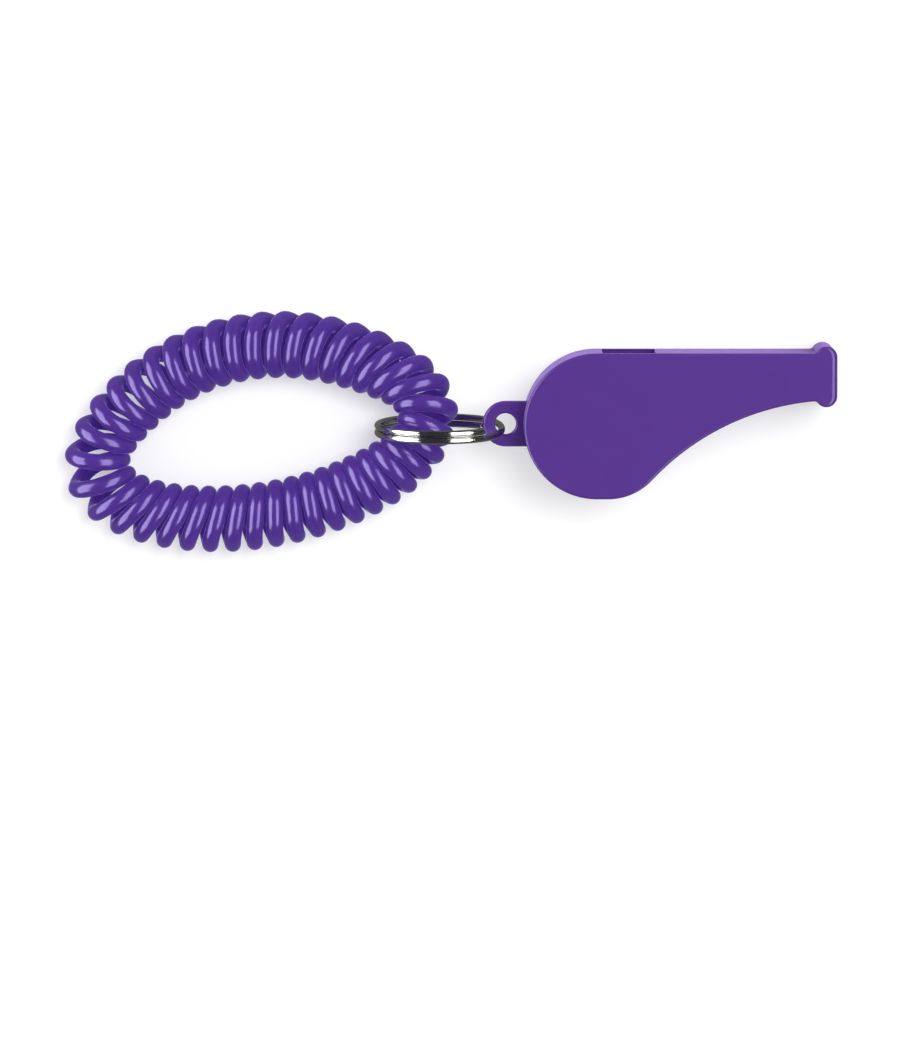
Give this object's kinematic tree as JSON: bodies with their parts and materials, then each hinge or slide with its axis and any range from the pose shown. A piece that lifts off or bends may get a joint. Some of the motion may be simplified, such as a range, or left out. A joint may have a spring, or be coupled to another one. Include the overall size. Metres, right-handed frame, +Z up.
{
  "type": "pea whistle with wrist coil",
  "caption": "Plastic pea whistle with a side lug, a split ring and a springy coiled band that goes round the wrist.",
  "frame": {"origin": "on the axis of the round barrel, in the flat side face that the whistle lies on", "axes": "+X runs along the whistle to the mouth end, +Y to the roof with the sound slot, +Z up, across the whistle's thickness"},
  "size_m": [0.1275, 0.0401, 0.0216],
  "materials": {
    "body_plastic": "satin",
    "cork": "matte",
    "ring_wire": "polished",
    "coil_plastic": "gloss"
  },
  "bodies": {
    "whistle": {"body_shell": "body_plastic", "side_cover": "body_plastic"},
    "pea": {"pea_ball": "cork"},
    "ring": {"split_ring": "ring_wire"},
    "coil": {"wrist_coil": "coil_plastic"}
  },
  "joints": [
    {"name": "pea_orbit", "type": "hinge", "parent": "whistle", "child": "pea", "pos_m": [0, 0, 0.0071], "axis": [0, 0, 1], "continuous": true},
    {"name": "ring_swing", "type": "hinge", "parent": "whistle", "child": "ring", "pos_m": [-0.015, 0, 0.0095], "axis": [0, 0, 1], "range_deg": [-60, 60]},
    {"name": "coil_swing", "type": "hinge", "parent": "ring", "child": "coil", "pos_m": [-0.02586, -0.00079, 0.01081], "axis": [0, 0.9962, 0.0872], "range_deg": [-45, 90]}
  ]
}
